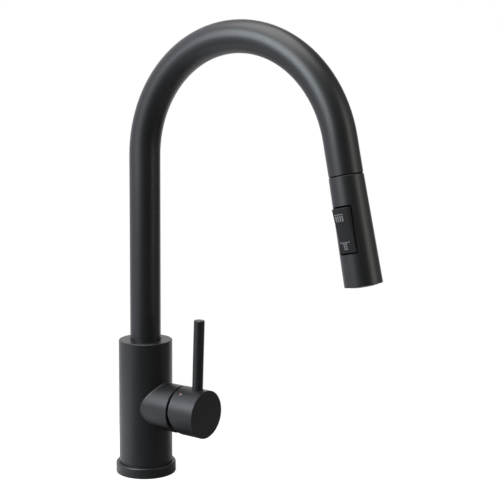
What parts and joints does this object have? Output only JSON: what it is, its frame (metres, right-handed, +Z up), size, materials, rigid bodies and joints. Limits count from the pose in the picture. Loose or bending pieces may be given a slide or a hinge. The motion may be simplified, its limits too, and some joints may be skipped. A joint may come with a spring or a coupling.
{
  "type": "pull down kitchen faucet",
  "caption": "Tall single-lever kitchen mixer tap with a high arched swivel spout and a pull-down spray head whose rocker changes stream to spray.",
  "frame": {"origin": "centre of the flange's underside, on the deck", "axes": "+Z up along the body, +X the way the spout and the side handle point, rocker on the -Y side of the head"},
  "size_m": [0.2785, 0.0566, 0.4205],
  "materials": {
    "black_coat": "matte black powder coat",
    "black_shell": "matte black coat on ABS",
    "black_button": "matte",
    "black_plastic": "moulded",
    "black_nut": "blackened brass",
    "black_face": "moulded",
    "nozzle_rubber": "soft silicone",
    "aerator_plastic": "moulded",
    "cartridge_plastic": "moulded",
    "disc_ceramic": "lapped",
    "black_rubber": "moulded",
    "brass": "turned",
    "stem_metal": "turned",
    "steel": "turned",
    "hose_braid": "braided nylon",
    "red_enamel": "enamel",
    "blue_enamel": "enamel"
  },
  "bodies": {
    "mixer": {"base_flange": "black_coat", "base_gasket": "black_rubber", "mixer_body": "black_coat", "inlet_block": "brass", "channel_seals": "black_rubber", "cartridge_base": "cartridge_plastic", "cartridge_seals": "black_rubber", "cartridge_housing": "cartridge_plastic", "cartridge_nut": "black_nut", "dome_ring": "black_plastic", "fixed_disc": "disc_ceramic", "lower_bush": "black_plastic", "upper_bush": "black_plastic", "spout_screw": "steel"},
    "rotor": {"stem_rotor": "cartridge_plastic", "stem_pin": "steel"},
    "handle": {"stem": "stem_metal", "handle_cap": "black_coat", "lever_rod": "black_coat", "handle_screw": "steel", "hot_index": "red_enamel", "cold_index": "blue_enamel"},
    "slider": {"moving_disc": "disc_ceramic", "disc_carrier": "cartridge_plastic"},
    "spout": {"spout_tube": "black_coat", "spout_sleeve": "brass", "docking_guide": "black_plastic", "pull_hose": "hose_braid", "hose_coupling": "brass"},
    "hose_end": {"hose_ferrule": "steel", "hose_tail": "brass"},
    "spray_head": {"hose_nut": "black_nut", "inlet_washer": "black_rubber", "head_nipple": "brass", "check_valve": "cartridge_plastic", "head_shell": "black_shell", "head_core": "cartridge_plastic", "rocker_pin": "steel", "distributor": "cartridge_plastic", "spray_face": "black_face", "aerator": "aerator_plastic", "spray_nozzles": "nozzle_rubber"},
    "rocker": {"rocker_button": "black_button"},
    "diverter": {"diverter_spool": "black_plastic", "spool_seals": "black_rubber"}
  },
  "joints": [
    {"name": "spout_swivel", "type": "hinge", "parent": "mixer", "child": "spout", "pos_m": [0, 0, 0.11], "axis": [0, 0, 1], "continuous": true},
    {"name": "head_pull", "type": "slide", "parent": "spout", "child": "hose_end", "axis": [0.2079, 0, -0.9781], "range_m": [0, 0.4], "stiffness_N_per_m": 8, "springref_m": -0.7},
    {"name": "head_turn", "type": "hinge", "parent": "hose_end", "child": "spray_head", "pos_m": [0.21588, 0, 0.29309], "axis": [0.2079, 0, -0.9781], "continuous": true},
    {"name": "rocker_tilt", "type": "hinge", "parent": "spray_head", "child": "rocker", "pos_m": [0.22455, -0.00599, 0.25077], "axis": [-0.9768, 0.0523, -0.2076], "range_deg": [0, 8]},
    {"name": "diverter_slide", "type": "slide", "parent": "spray_head", "child": "diverter", "axis": [0.2079, 0, -0.9781], "range_m": [0, 0.00091]},
    {"name": "handle_turn", "type": "hinge", "parent": "mixer", "child": "rotor", "pos_m": [0.031, 0, 0.0667], "axis": [1, 0, 0], "range_deg": [-45, 45]},
    {"name": "handle_lift", "type": "hinge", "parent": "rotor", "child": "handle", "pos_m": [0.031, 0, 0.0667], "axis": [0, 1, 0], "range_deg": [0, 20]},
    {"name": "disc_slide", "type": "slide", "parent": "rotor", "child": "slider", "axis": [0, 0, 1], "range_m": [0, 0.0021]}
  ],
  "couplings": [
    {"joint": "diverter_slide", "follows": "rocker_tilt", "m_per_rad": 0.00645},
    {"joint": "disc_slide", "follows": "handle_lift", "m_per_rad": 0.0058789}
  ]
}
